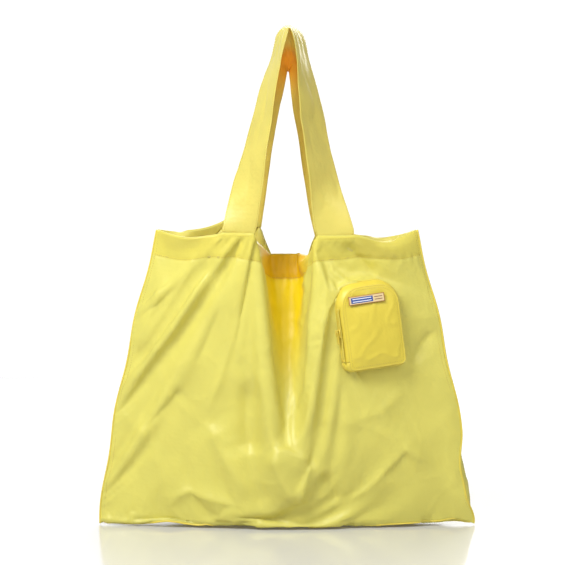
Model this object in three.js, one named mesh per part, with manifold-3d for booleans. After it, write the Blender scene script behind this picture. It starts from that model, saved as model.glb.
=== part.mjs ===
// A foldable tote bag in yellow nylon: two sewn panels on a boat-shaped base, a turned-over mouth,
// two flat shoulder straps that meet at the top, and a small zipped pouch with a woven label.
// Millimetres, +Z up, the front faces -Y, and the origin is the middle of the base, on the ground.

import * as THREE from 'three';
import { mergeVertices } from 'three/addons/utils/BufferGeometryUtils.js';
import Module from 'manifold-3d';

const wasm = await Module();
wasm.setup();

// ---------------------------------------------------------------- driving dimensions

const CLOTH = 1.2;            // thickness of every cloth solid
const GAP = 0.35;             // clearance between neighbouring pieces
const LAYER = CLOTH + GAP;    // step from one cloth layer to the next

const RIM_Z = 372;            // height of the mouth
const RIM_HALF_WIDTH = 164;   // half of the mouth's width
const FOOT_HALF_WIDTH = 238;  // half of the base's width
const RIM_DEPTH = 44;         // how far the panels stand from the middle plane at the mouth
const FOOT_DEPTH = 52;        // and at the base
const EDGE_DEPTH = 2.2;       // half distance between the panels at the side seams
const FLARE = 1.35;           // how the sides curve out towards the base
const HEM_DEPTH = 33;         // depth of the turned-over mouth hem

const VALLEY_X = -2;          // the front panel's central pleat
const VALLEY_WIDTH = 19;
const VALLEY_DEPTH = 66;
const VALLEY_FOOT_Z = 110;    // the pleat fades out here
const VALLEY_DIP = 30;        // how far the mouth drops in the pleat
const MOUTH_PLEAT = 60;       // the pleat has its full depth this far below the mouth
const BACK_DIP = 40;          // the back panel's mouth hangs lower in the middle
const BACK_DIP_WIDTH = 46;
const BACK_DENT = 10;

const STRAP_WIDTH = 50;
const STRAP_CLOTH = 1.6;
const STRAP_START = 6;        // the loose strap begins this far above the mouth
const STRAP_END_DEPTH = 28;   // the length sewn inside the mouth
const APEX_X = 2;             // top of the straps
const APEX_Z = 632;
const APEX_GAP = 1.5;         // each strap stops this far from the middle plane
const LEG_REACH = { left: 61, right: 57 };         // from the top's middle out to each leg's foot
const LEG_WIDTH = { left: 43, right: 50 };         // width of each leg's foot
const FRONT_RIDGE = { drop: 4, depth: 1 };         // the strap's inner edge at the top: how far
const BACK_RIDGE = { drop: 46, depth: 0.6 };       // it drops, and how far it stands out

const POUCH_WIDTH = 78;
const POUCH_HEIGHT = 107;
const POUCH_DEPTH = 14;
const POUCH_TOP_RADIUS = 26;
const POUCH_FOOT_RADIUS = 6;
const POUCH_CENTRE = new THREE.Vector3(100, -37, 261);
const POUCH_TURN = THREE.MathUtils.degToRad(16);   // follows the panel round towards the side
const POUCH_LEAN = THREE.MathUtils.degToRad(2.5);  // and back with its slope
const POUCH_TILT = THREE.MathUtils.degToRad(7);    // sewn on slightly askew
const POUCH_CROWN = 3;        // how far the pouch's front bulges
const POUCH_SEAM = 2.4;       // width of the seam round the pouch's front

const LABEL_WIDTH = 47;
const LABEL_HEIGHT = 11;
const LABEL_CENTRE = [-2, 31];

const ZIP_LOW = -43;          // ends of the zip, along the pouch's left side
const ZIP_HIGH = 25;
const COIL_WIDTH = 1.4;
const STOP_LENGTH = 3;
const SLIDER_V = -6;          // where the slider rests
const SLIDER = { width: 7, length: 11, thickness: 2.2 };
const BRIDGE = { width: 1.8, length: 6.4, height: 3.4, bar: 1.1 };
const PULL = { width: 5, length: 15, thickness: 1.2, eye: 3.6, rim: 1.1 };

// ---------------------------------------------------------------- materials

const colours = {
  cloth: 0xece06a,
  hem: 0xe9d24e,
  strap: 0xead95f,
  seam: 0xd8c648,
  zip: 0xe6c935,
  label: 0xd9cfae,
  metal: 0xd8d2bd,
};

function finish(name, roughness = 0.6, metalness = 0) {
  return new THREE.MeshStandardMaterial({ color: colours[name], roughness, metalness });
}

function piece(name, geometry, material) {
  const mesh = new THREE.Mesh(geometry, material);
  mesh.name = name;
  return mesh;
}

// ---------------------------------------------------------------- sheet solids

const point = (x, y, z) => new THREE.Vector3(x, y, z);

function geometryFrom(vertices, triangles) {
  const geometry = new THREE.BufferGeometry();
  const numbers = vertices.flatMap((v) => v.toArray());
  geometry.setAttribute('position', new THREE.Float32BufferAttribute(numbers, 3));
  geometry.setIndex(triangles.flat());
  geometry.computeVertexNormals();
  return geometry;
}

// Unit normals of a grid of points, from its neighbours along both directions.
function gridNormals(grid) {
  const last = (list) => list.length - 1;
  return grid.map((row, i) => row.map((_, j) => {
    const along = grid[Math.min(i + 1, last(grid))][j].clone().sub(grid[Math.max(i - 1, 0)][j]);
    const across = row[Math.min(j + 1, last(row))].clone().sub(row[Math.max(j - 1, 0)]);
    return along.cross(across).normalize();
  }));
}

// A closed sheet: the grid's surface, and a second one `thickness` behind it.
function sheet(grid, thickness, offset = 0) {
  const normals = gridNormals(grid);
  const rows = grid.length;
  const columns = grid[0].length;
  const layer = (depth) => grid.flatMap((row, i) =>
    row.map((p, j) => p.clone().addScaledVector(normals[i][j], -depth)));
  const vertices = [...layer(offset), ...layer(offset + thickness)];
  const front = (i, j) => i * columns + j;
  const behind = (i, j) => rows * columns + front(i, j);
  const triangles = [];
  const quad = (a, b, c, d) => triangles.push([a, b, c], [a, c, d]);
  for (let i = 0; i < rows - 1; i += 1) {
    for (let j = 0; j < columns - 1; j += 1) {
      quad(front(i, j), front(i + 1, j), front(i + 1, j + 1), front(i, j + 1));
      quad(behind(i, j), behind(i, j + 1), behind(i + 1, j + 1), behind(i + 1, j));
    }
  }
  for (let i = 0; i < rows - 1; i += 1) {
    quad(front(i, 0), behind(i, 0), behind(i + 1, 0), front(i + 1, 0));
    quad(front(i, columns - 1), front(i + 1, columns - 1), behind(i + 1, columns - 1), behind(i, columns - 1));
  }
  for (let j = 0; j < columns - 1; j += 1) {
    quad(front(0, j), front(0, j + 1), behind(0, j + 1), behind(0, j));
    quad(front(rows - 1, j), behind(rows - 1, j), behind(rows - 1, j + 1), front(rows - 1, j + 1));
  }
  return geometryFrom(vertices, triangles);
}

const spread = (low, high, steps) =>
  Array.from({ length: steps + 1 }, (_, k) => low + (high - low) * (k / steps));

// ---------------------------------------------------------------- the bag's surface

const bell = (x, middle, width) => Math.exp(-(((x - middle) / width) ** 2));

function halfWidth(z) {
  return RIM_HALF_WIDTH + (FOOT_HALF_WIDTH - RIM_HALF_WIDTH) * (1 - (z / RIM_Z) ** FLARE);
}

function depthAt(across, z) {
  const depth = THREE.MathUtils.lerp(FOOT_DEPTH, RIM_DEPTH, z / RIM_Z);
  return EDGE_DEPTH + (depth - EDGE_DEPTH) * (1 - across ** 2);
}

// A point of the front (side -1) or back (side 1) panel. `across` runs from -1 to 1.
function panelPoint(side, across, z) {
  const x = across * halfWidth(z);
  const y = side * depthAt(across, z);
  if (side > 0) {
    const dent = BACK_DENT * bell(x, 0, BACK_DIP_WIDTH) * THREE.MathUtils.smoothstep(z, VALLEY_FOOT_Z, RIM_Z);
    return point(x, y - dent, z);
  }
  const pleat = bell(x, VALLEY_X, VALLEY_WIDTH) * THREE.MathUtils.smoothstep(z, VALLEY_FOOT_Z, RIM_Z - MOUTH_PLEAT);
  return point(x, y + VALLEY_DEPTH * pleat, z);
}

// The mouth's height along the panel.
function rimAt(side, across) {
  const x = across * halfWidth(RIM_Z);
  if (side > 0) return RIM_Z - BACK_DIP * bell(x, 0, BACK_DIP_WIDTH);
  return RIM_Z - VALLEY_DIP * bell(x, VALLEY_X, VALLEY_WIDTH * 1.2);
}

// Steps across a panel, closer together where the pleat turns sharply.
function panelSteps(side, low = -1, high = 1) {
  if (side > 0) return spread(low, high, 18);
  const fine = 0.34;
  return [...spread(low, -fine, 7), ...spread(-fine, fine, 22).slice(1), ...spread(fine, high, 7).slice(1)];
}

// Columns of points across, each from `foot` to `top` (functions of the place across).
function panelGrid(side, steps, foot, top, rows) {
  const columns = steps.map((across) =>
    spread(foot(across), top(across), rows).map((z) => panelPoint(side, across, z)));
  return side < 0 ? columns : columns.reverse();
}

const panelNames = { [-1]: 'front', 1: 'back' };

function panel(side) {
  const foot = () => LAYER;
  const grid = panelGrid(side, panelSteps(side), foot, (a) => rimAt(side, a), 13);
  return piece(`${panelNames[side]}_panel`, sheet(grid, CLOTH), finish('cloth'));
}

// The mouth hem lies inside the panel, one layer in.
function mouthHem(side) {
  const steps = panelSteps(side, -0.93, 0.93);
  const grid = panelGrid(side, steps, (a) => rimAt(side, a) - HEM_DEPTH, (a) => rimAt(side, a), 3);
  return piece(`${panelNames[side]}_mouth_hem`, sheet(grid, CLOTH, LAYER), finish('hem'));
}

function baseGusset() {
  const steps = spread(-0.97, 0.97, 24);
  const grid = steps.map((across) => {
    const x = across * halfWidth(0);
    const depth = depthAt(across, 0) - GAP;
    return spread(-depth, depth, 2).map((y) => point(x, y, CLOTH));
  });
  return piece('base_gusset', sheet(grid, CLOTH), finish('cloth'));
}

// A seam's binding: a narrow strip outside the panel's lower edge, standing on the ground.
function baseBinding(side) {
  const width = 1.4;
  const steps = spread(-0.97, 0.97, 24);
  const rows = steps.map((across) => {
    const x = across * halfWidth(0);
    const y = side * (depthAt(across, 0) + GAP);
    return [point(x, y, 0), point(x, y, 5)];
  });
  const grid = side < 0 ? rows : rows.reverse();
  return piece(`${panelNames[side]}_base_seam`, sheet(grid, width, -width), finish('seam'));
}

function sideSeam(side, name) {
  const width = 3;
  const rows = spread(0, RIM_Z, 14).map((z) => {
    const x = side * (halfWidth(z) + 1.2);
    return [point(x, -width / 2, z), point(x, width / 2, z)];
  });
  const grid = side < 0 ? rows : rows.reverse();
  return piece(name, sheet(grid, CLOTH, -CLOTH), finish('seam'));
}

// ---------------------------------------------------------------- straps

// A strap runs from its left foot (s = -1) over the top (s = 0) to its right foot (s = 1). On the
// way up it turns from facing forwards to facing upwards, so its inner edge stands out at the top.
function strapRow(side, s) {
  const ridge = side < 0 ? FRONT_RIDGE : BACK_RIDGE;
  const leg = s < 0 ? 'left' : 'right';
  const rise = 1 - Math.abs(s);
  const angle = (Math.PI / 2) * rise ** 0.85;
  const half = THREE.MathUtils.lerp(LEG_WIDTH[leg], STRAP_WIDTH, rise) / 2;
  const top = half * ridge.depth + APEX_GAP;
  const centre = point(
    APEX_X + Math.sign(s) * LEG_REACH[leg] * Math.abs(s) ** 0.75,
    side * THREE.MathUtils.lerp(RIM_DEPTH, top, rise),
    THREE.MathUtils.lerp(RIM_Z + STRAP_START, APEX_Z, rise),
  );
  const inwards = point(
    -Math.sign(s) * Math.cos(angle),
    side * Math.sin(angle) * ridge.depth,
    0,
  );
  const drop = point(0, 0, -ridge.drop * rise ** 3);
  return spread(-half, half, 3).map((w) =>
    centre.clone().addScaledVector(inwards, w).addScaledVector(drop, w / half / 2 + 0.5));
}

function strap(side) {
  const grid = spread(-1, 1, 44).map((s) => strapRow(side, s));
  return piece(`${panelNames[side]}_strap`, sheet(grid, STRAP_CLOTH, -STRAP_CLOTH / 2), finish('strap'));
}

// One end of a strap, sewn flat inside the mouth hem.
function strapEnd(side, leg) {
  const sign = leg === 'left' ? -1 : 1;
  const middle = APEX_X + sign * LEG_REACH[leg];
  const [low, high] = [-1, 1].map((end) => (middle + end * LEG_WIDTH[leg] / 2) / halfWidth(RIM_Z));
  const steps = spread(low, high, 5);
  const grid = panelGrid(side, steps, (a) => rimAt(side, a) - STRAP_END_DEPTH, (a) => rimAt(side, a), 2);
  return piece(`${panelNames[side]}_${leg}_strap_end`, sheet(grid, CLOTH, 2 * LAYER), finish('strap'));
}

// ---------------------------------------------------------------- pouch, in its own plane
// Here x runs to the pouch's right, y up and z outwards from the bag.

function pouchShape(inset) {
  const [w, h] = [POUCH_WIDTH / 2 - inset, POUCH_HEIGHT / 2 - inset];
  const top = POUCH_TOP_RADIUS - inset;
  const foot = POUCH_FOOT_RADIUS - inset;
  const quarter = Math.PI / 2;
  const shape = new THREE.Shape();
  shape.moveTo(-w, -h + foot);
  shape.absarc(-w + foot, -h + foot, foot, 2 * quarter, 3 * quarter);
  shape.absarc(w - foot, -h + foot, foot, 3 * quarter, 4 * quarter);
  shape.absarc(w - top, h - top, top, 0, quarter);
  shape.absarc(-w + top, h - top, top, quarter, 2 * quarter);
  return shape;
}

const outlinePoints = (inset) => pouchShape(inset).getPoints(7);

function extrude(shape, from, to) {
  const options = { depth: to - from, bevelEnabled: false, curveSegments: 7 };
  return new THREE.ExtrudeGeometry(shape, options).translate(0, 0, from);
}

function pouchBack() {
  return piece('pouch_back', extrude(pouchShape(LAYER), 0, CLOTH), finish('cloth'));
}

// The side wall runs from the zip's lower end round the foot, the right side and the top
// to the zip's upper end. The zip closes the rest of it.
function pouchWall() {
  const left = -POUCH_WIDTH / 2;
  const arcs = outlinePoints(0).slice(1);
  const route = [new THREE.Vector2(left, ZIP_LOW - GAP), ...arcs, new THREE.Vector2(left, ZIP_HIGH + GAP)];
  const grid = route.map((p) => [point(p.x, p.y, 0), point(p.x, p.y, POUCH_DEPTH)]);
  return piece('pouch_wall', sheet(grid.reverse(), CLOTH, 0), finish('cloth'));
}

// The seam that joins the wall and the front: a flat ring.
function pouchSeam() {
  const ring = pouchShape(-POUCH_SEAM / 4);
  ring.holes.push(new THREE.Path(outlinePoints(POUCH_SEAM).reverse()));
  const base = POUCH_DEPTH + GAP;
  return piece('pouch_front_seam', extrude(ring, base, base + CLOTH), finish('seam'));
}

// A plate that follows the pouch's outline and bulges in the middle.
function pouchFront() {
  const rings = 5;
  const outline = outlinePoints(POUCH_SEAM + GAP).slice(0, -1);
  const count = outline.length;
  const base = POUCH_DEPTH + GAP;
  const bulge = (r) => base + POUCH_CROWN * (1 - r ** 2);
  const vertices = [];
  const triangles = [];
  const surface = (lift, flip) => {
    const first = vertices.length;
    const at = (ring, n) => first + 1 + (ring - 1) * count + (n % count);
    const face = (a, b, c) => triangles.push(flip ? [a, c, b] : [a, b, c]);
    vertices.push(point(0, 0, bulge(0) + lift));
    for (const r of spread(1 / rings, 1, rings - 1)) {
      vertices.push(...outline.map((p) => point(p.x * r, p.y * r, bulge(r) + lift)));
    }
    for (let n = 0; n < count; n += 1) {
      face(first, at(1, n), at(1, n + 1));
      for (let k = 1; k < rings; k += 1) {
        face(at(k, n), at(k + 1, n), at(k + 1, n + 1));
        face(at(k, n), at(k + 1, n + 1), at(k, n + 1));
      }
    }
    return (n) => at(rings, n);
  };
  const outer = surface(CLOTH, false);
  const inner = surface(0, true);
  for (let n = 0; n < count; n += 1) {
    triangles.push([outer(n), inner(n), inner(n + 1)], [outer(n), inner(n + 1), outer(n + 1)]);
  }
  return piece('pouch_front', geometryFrom(vertices, triangles), finish('cloth'));
}

function wovenLabel() {
  const [u, v] = LABEL_CENTRE;
  const base = POUCH_DEPTH + 2 * GAP + POUCH_CROWN + CLOTH;
  const thickness = 0.8;
  const label = new THREE.BoxGeometry(LABEL_WIDTH, LABEL_HEIGHT, thickness);
  return piece('woven_label', label.translate(u, v, base + thickness / 2), finish('label', 0.8));
}

// ---------------------------------------------------------------- zip, in the pouch's left wall

const ZIP_X = -POUCH_WIDTH / 2;                    // outer face of the tapes
const ZIP_MIDDLE = POUCH_DEPTH / 2;
const ZIP_LENGTH = ZIP_HIGH - ZIP_LOW;

function zipStrip(name, from, to, material) {
  const strip = new THREE.BoxGeometry(CLOTH, ZIP_LENGTH, to - from);
  strip.translate(ZIP_X + CLOTH / 2, (ZIP_LOW + ZIP_HIGH) / 2, (from + to) / 2);
  return piece(name, strip, finish(material));
}

function zipTapesAndCoils() {
  const halfGap = GAP / 2;
  const coil = ZIP_MIDDLE - halfGap - COIL_WIDTH;
  const mirror = (z) => 2 * ZIP_MIDDLE - z;
  return [
    zipStrip('zip_tape_back', 0, coil - GAP, 'cloth'),
    zipStrip('zip_coil_back', coil, coil + COIL_WIDTH, 'zip'),
    zipStrip('zip_coil_front', mirror(coil + COIL_WIDTH), mirror(coil), 'zip'),
    zipStrip('zip_tape_front', mirror(coil - GAP), POUCH_DEPTH, 'cloth'),
  ];
}

function zipStop(name, v) {
  const stop = new THREE.BoxGeometry(CLOTH, STOP_LENGTH, 2 * COIL_WIDTH);
  stop.translate(ZIP_X - GAP - CLOTH / 2, v, ZIP_MIDDLE);
  return piece(name, stop, finish('metal', 0.4, 0.6));
}

function solid(geometry) {
  geometry.deleteAttribute('normal');
  geometry.deleteAttribute('uv');
  const merged = mergeVertices(geometry, 1e-4);
  const vertProperties = new Float32Array(merged.attributes.position.array);
  const triVerts = new Uint32Array(merged.index.array);
  return new wasm.Manifold(new wasm.Mesh({ numProp: 3, vertProperties, triVerts }));
}

function geometryOf(manifold) {
  const mesh = manifold.getMesh();
  const geometry = new THREE.BufferGeometry();
  geometry.setAttribute('position', new THREE.BufferAttribute(mesh.vertProperties, 3));
  geometry.setIndex(new THREE.BufferAttribute(mesh.triVerts, 1));
  return geometry;
}

// A shape drawn in the zip's own plane, x along the zip's width and y along its length,
// turned to face out of the pouch's left side, its near face `out` from the tapes.
function facingLeft(geometry, out) {
  return geometry.rotateY(-Math.PI / 2).translate(ZIP_X - out, SLIDER_V, ZIP_MIDDLE);
}

const BRIDGE_FOOT = GAP + SLIDER.thickness;        // the slider's outer face, from the tapes

// The slider's body narrows towards its lower end. A bridge on it holds the pull.
function zipSlider() {
  const [w, l] = [SLIDER.width / 2, SLIDER.length / 2];
  const body = new THREE.Shape();
  body.moveTo(-w * 0.7, -l);
  body.lineTo(w * 0.7, -l);
  body.quadraticCurveTo(w * 0.75, 0, w, l * 0.6);
  body.quadraticCurveTo(w * 0.9, l, w * 0.4, l);
  body.lineTo(-w * 0.4, l);
  body.quadraticCurveTo(-w * 0.9, l, -w, l * 0.6);
  body.quadraticCurveTo(-w * 0.75, 0, -w * 0.7, -l);
  const options = { depth: SLIDER.thickness, bevelEnabled: false, curveSegments: 5 };
  const plate = facingLeft(new THREE.ExtrudeGeometry(body, options), GAP);
  const arch = new THREE.Shape();
  const [half, bar, sink] = [BRIDGE.length / 2, BRIDGE.bar, 0.4];
  arch.moveTo(-sink, -half);
  arch.lineTo(BRIDGE.height - bar, -half);
  arch.absarc(BRIDGE.height - bar, -half + bar, bar, -Math.PI / 2, 0);
  arch.absarc(BRIDGE.height - bar, half - bar, bar, 0, Math.PI / 2);
  arch.lineTo(-sink, half);
  arch.lineTo(-sink, half - bar);
  arch.lineTo(BRIDGE.height - bar, half - bar);
  arch.lineTo(BRIDGE.height - bar, -half + bar);
  arch.lineTo(-sink, -half + bar);
  const archOptions = { depth: BRIDGE.width, bevelEnabled: false, curveSegments: 4 };
  const bridge = new THREE.ExtrudeGeometry(arch, archOptions);
  bridge.translate(0, 0, -BRIDGE.width / 2).rotateY(Math.PI);
  bridge.translate(ZIP_X - BRIDGE_FOOT, SLIDER_V, ZIP_MIDDLE);
  return piece('zip_slider', geometryOf(solid(plate).add(solid(bridge))), finish('metal', 0.35, 0.7));
}

// The pull hangs from the bridge by a square eye that passes under it.
function zipPull() {
  const { width, length, thickness, eye, rim } = PULL;
  const w = width / 2;
  const tab = new THREE.Shape();
  tab.moveTo(-w, rim / 2);
  tab.lineTo(-w, -length + w);
  tab.absarc(0, -length + w, w, Math.PI, Math.PI * 2);
  tab.lineTo(w, rim / 2);
  const hole = new THREE.Path();
  hole.moveTo(-w + rim, -rim / 2);
  hole.lineTo(w - rim, -rim / 2);
  hole.lineTo(w - rim, -rim / 2 - eye);
  hole.lineTo(-w + rim, -rim / 2 - eye);
  tab.holes.push(hole);
  const options = { depth: thickness, bevelEnabled: false, curveSegments: 6 };
  const under = (BRIDGE.height - BRIDGE.bar - thickness) / 2;
  return piece('zip_pull', facingLeft(new THREE.ExtrudeGeometry(tab, options), BRIDGE_FOOT + under),
    finish('metal', 0.35, 0.7));
}

// ---------------------------------------------------------------- assembly

function pouch() {
  const flat = new THREE.Group();
  flat.add(pouchBack(), pouchWall(), pouchSeam(), pouchFront(), wovenLabel());
  flat.add(...zipTapesAndCoils());
  flat.add(zipStop('zip_lower_stop', ZIP_LOW + STOP_LENGTH), zipStop('zip_upper_stop', ZIP_HIGH - STOP_LENGTH));
  flat.add(zipSlider(), zipPull());
  flat.rotation.z = POUCH_TILT;
  const upright = new THREE.Group().add(flat);
  upright.rotation.x = Math.PI / 2 - POUCH_LEAN;
  const turned = new THREE.Group().add(upright);
  turned.rotation.z = POUCH_TURN;
  turned.position.copy(POUCH_CENTRE);
  return turned;
}

const bag = new THREE.Group();
for (const side of [-1, 1]) {
  bag.add(panel(side), mouthHem(side), baseBinding(side), strap(side));
  bag.add(strapEnd(side, 'left'), strapEnd(side, 'right'));
}
bag.add(baseGusset(), sideSeam(-1, 'left_side_seam'), sideSeam(1, 'right_side_seam'), pouch());

export default bag;
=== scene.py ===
"""A foldable tote bag in yellow nylon, filled and standing, with its straps held up at the top."""

import math

import bmesh
import bpy
import numpy as np
from mathutils import Matrix, Vector, noise


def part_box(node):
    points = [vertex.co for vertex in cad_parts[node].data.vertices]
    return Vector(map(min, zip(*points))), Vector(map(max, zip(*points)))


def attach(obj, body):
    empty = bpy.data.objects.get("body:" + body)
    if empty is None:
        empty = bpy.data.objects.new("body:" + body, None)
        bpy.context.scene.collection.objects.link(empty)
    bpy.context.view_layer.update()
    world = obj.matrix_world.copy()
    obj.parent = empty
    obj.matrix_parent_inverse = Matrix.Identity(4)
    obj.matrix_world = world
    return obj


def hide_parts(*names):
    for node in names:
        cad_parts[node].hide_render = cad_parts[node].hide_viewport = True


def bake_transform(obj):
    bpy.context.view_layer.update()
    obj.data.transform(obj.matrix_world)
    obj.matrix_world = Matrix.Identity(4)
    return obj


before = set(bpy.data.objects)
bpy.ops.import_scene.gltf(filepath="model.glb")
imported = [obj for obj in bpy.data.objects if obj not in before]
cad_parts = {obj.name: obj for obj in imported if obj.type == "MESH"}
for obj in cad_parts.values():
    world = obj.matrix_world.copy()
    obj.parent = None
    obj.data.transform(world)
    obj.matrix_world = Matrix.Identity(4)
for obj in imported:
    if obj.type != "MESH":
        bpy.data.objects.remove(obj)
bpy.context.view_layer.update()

MM = 0.001
SCENE = bpy.context.scene
bpy.ops.object.select_all(action="DESELECT")

# ---------------------------------------------------------------- sizes, from the frame

FRONT_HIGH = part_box("front_panel")[1]
BASE_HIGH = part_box("base_gusset")[1]
STRAP_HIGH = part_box("front_strap")[1]
HEM_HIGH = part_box("back_mouth_hem")[1]
POUCH_LOW, POUCH_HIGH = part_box("pouch_back")
LABEL_LOW, LABEL_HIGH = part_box("woven_label")

RIM_Z = FRONT_HIGH.z                 # the mouth's height
RIM_HALF = HEM_HIGH.x + 4 * MM       # half of the mouth's width
FOOT_HALF = FRONT_HIGH.x + 1 * MM    # half of the base's width
FOOT_DEPTH = BASE_HIGH.y             # half of the base's depth in the middle
GROUND = 1.5 * MM                    # the base lies this far above the ground
SEAM_TOP = 377 * MM                  # height of the side seams' upper ends
APEX_Z = STRAP_HIGH.z                # height of the straps' top

PANEL_HALF = 240 * MM                # half of a panel's cut width
PANEL_HEIGHT = 388 * MM              # a panel's cut height, from the base seam to the mouth
HEM_DEPTH = 33 * MM
CLOTH = 0.5 * MM                     # cloth thickness as drawn
STRAP_INNER = 96 * MM                # a strap is sewn to the mouth between these places on the cut cloth
STRAP_OUTER = 146 * MM
STRAP_WIDTH = 50 * MM
STRAP_SEWN = 28 * MM                 # length of a strap's end inside the hem

COLUMNS = 96                         # cells across a panel
ROWS = 76                            # cells up a panel
BASE_ROWS = 16                       # cells from the base's front to its back
FRAMES = 60                          # steps in which the bag settles

POUCH_WIDTH = 78 * MM
POUCH_HEIGHT = 107 * MM
POUCH_DEPTH = 14 * MM
POUCH_EDGE = POUCH_DEPTH - 1 * MM    # height of the front's edge above the back
POUCH_TOP = 26 * MM                  # radius of the upper corners
POUCH_FOOT = 6 * MM                  # radius of the lower corners
POUCH_CROWN = 4 * MM                 # how far the pouch's front bulges
POUCH_CUT = Vector((156, 268)) * MM  # the pouch's middle on the cut cloth
POUCH_TILT = 7                       # degrees by which its top leans to the left
ZIP_LOW = -43 * MM                   # the zip's ends, from the pouch's middle
ZIP_HIGH = 25 * MM
LABEL_SIZE = Vector((47, 11)) * MM   # the label's width and height


def pouch_frame():
    """The pouch's own axes: x to its right, y up and z out of the bag, from the middle of its back."""
    turn = Matrix.Rotation(math.radians(16), 4, "Z")
    lean = Matrix.Rotation(math.radians(90 - 2.5), 4, "X")
    tilt = Matrix.Rotation(math.radians(POUCH_TILT), 4, "Z")
    middle = (POUCH_LOW + POUCH_HIGH) / 2
    out = (turn @ lean @ tilt).col[2].to_3d()
    half_back = 0.6 * MM             # half of the back's thickness
    return Matrix.Translation(middle - out * half_back) @ turn @ lean @ tilt


POUCH = pouch_frame()


def to_world(points):
    """Points in the pouch's own axes as points of the object."""
    turn = np.array(POUCH)
    return np.asarray(points) @ turn[:3, :3].T + turn[:3, 3]


# ---------------------------------------------------------------- small helpers

def smooth(low, high, value):
    """0 below low, 1 above high and a smooth step between them."""
    t = np.clip((value - low) / (high - low), 0.0, 1.0)
    return t * t * (3 - 2 * t)


def bell(value, middle, width):
    """1 at the middle, falling smoothly to nearly 0 about two widths away."""
    return np.exp(-(((value - middle) / width) ** 2))


def linear(hex_colour):
    """An sRGB hex colour as linear RGBA."""
    parts = [int(hex_colour[i:i + 2], 16) / 255 for i in (1, 3, 5)]
    return (*[c / 12.92 if c <= 0.04045 else ((c + 0.055) / 1.055) ** 2.4 for c in parts], 1.0)


def mesh_piece(name, vertices, faces):
    """A smoothly shaded object from points and faces."""
    mesh = bpy.data.meshes.new(name)
    mesh.from_pydata([tuple(v) for v in vertices], [], faces)
    mesh.update()
    mesh.shade_smooth()
    piece = bpy.data.objects.new(name, mesh)
    SCENE.collection.objects.link(piece)
    return piece


def grid_faces(rows, columns, flip=False):
    """Quads of a grid whose points are stored row by row."""
    faces = []
    for j in range(rows - 1):
        for i in range(columns - 1):
            a = j * columns + i
            quad = (a, a + 1, a + 1 + columns, a + columns)
            faces.append(quad[::-1] if flip else quad)
    return faces


def apply_modifier(piece, kind, **settings):
    """Adds a modifier with the given settings and makes its result the piece's own mesh."""
    modifier = piece.modifiers.new(kind.lower(), kind)
    for key, value in settings.items():
        setattr(modifier, key, value)
    with bpy.context.temp_override(object=piece, active_object=piece, selected_objects=[piece]):
        bpy.ops.object.modifier_apply(modifier=modifier.name)


# ---------------------------------------------------------------- draping the bag

def flat_bag():
    """The cut and sewn bag before it hangs: front and back panels on a boat-shaped base. Returns its
    points, its faces, the points' numbers in the front, the back and the base, and places across."""
    across = np.linspace(-PANEL_HALF, PANEL_HALF, COLUMNS + 1)
    up = np.linspace(0, PANEL_HEIGHT, ROWS + 1)
    boat = FOOT_DEPTH * (1 - (across / PANEL_HALF) ** 2)
    points, faces = [], []

    def add(x, y, z):
        points.append((x, y, z))
        return len(points) - 1

    front = np.zeros((ROWS + 1, COLUMNS + 1), int)
    back = np.zeros((ROWS + 1, COLUMNS + 1), int)
    for j, v in enumerate(up):
        start = smooth(0.4 * PANEL_HEIGHT, PANEL_HEIGHT, v)
        for i, u in enumerate(across):
            pleat = bell(u, 0, 40 * MM) * start      # both panels start a little back in the middle
            front[j, i] = add(u, -boat[i] + 14 * MM * pleat, v + GROUND)
            seam = i in (0, COLUMNS)
            back[j, i] = front[j, i] if seam else add(u, boat[i] + 10 * MM * pleat, v + GROUND)
    base = np.zeros((BASE_ROWS + 1, COLUMNS + 1), int)
    for i, u in enumerate(across):
        for k in range(BASE_ROWS + 1):
            inside = 0 < k < BASE_ROWS and 0 < i < COLUMNS
            edge = front[0, i] if k < BASE_ROWS else back[0, i]
            y = boat[i] * (2 * k / BASE_ROWS - 1)
            base[k, i] = add(u, y, GROUND) if inside else edge

    def cells(grid, flip):
        for j in range(grid.shape[0] - 1):
            for i in range(grid.shape[1] - 1):
                ring = [grid[j, i], grid[j, i + 1], grid[j + 1, i + 1], grid[j + 1, i]]
                ring = [int(v) for n, v in enumerate(ring) if v not in ring[:n]]
                if len(ring) > 2:
                    faces.append(ring[::-1] if flip else ring)

    cells(front, False)
    cells(back, True)
    cells(base, True)
    return points, faces, front, back, base, across


def seam_reach(z):
    """How far the side seams stand from the middle at a height."""
    return RIM_HALF + (FOOT_HALF - RIM_HALF) * (1 - (z / SEAM_TOP) ** 1.35)


def hold_under_pouch(front, across, held):
    """The cloth behind the pouch lies flat against it."""
    tilt = Matrix.Rotation(math.radians(-POUCH_TILT), 2)
    inside = 5 * MM
    for j in range(ROWS):
        for i, u in enumerate(across):
            x, y = tilt @ (Vector((u, PANEL_HEIGHT * j / ROWS)) - POUCH_CUT)
            if abs(x) < POUCH_WIDTH / 2 - inside and abs(y) < POUCH_HEIGHT / 2 - inside:
                held[int(front[j, i])] = np.array(POUCH @ Vector((x, y, -1 * MM)))


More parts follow.
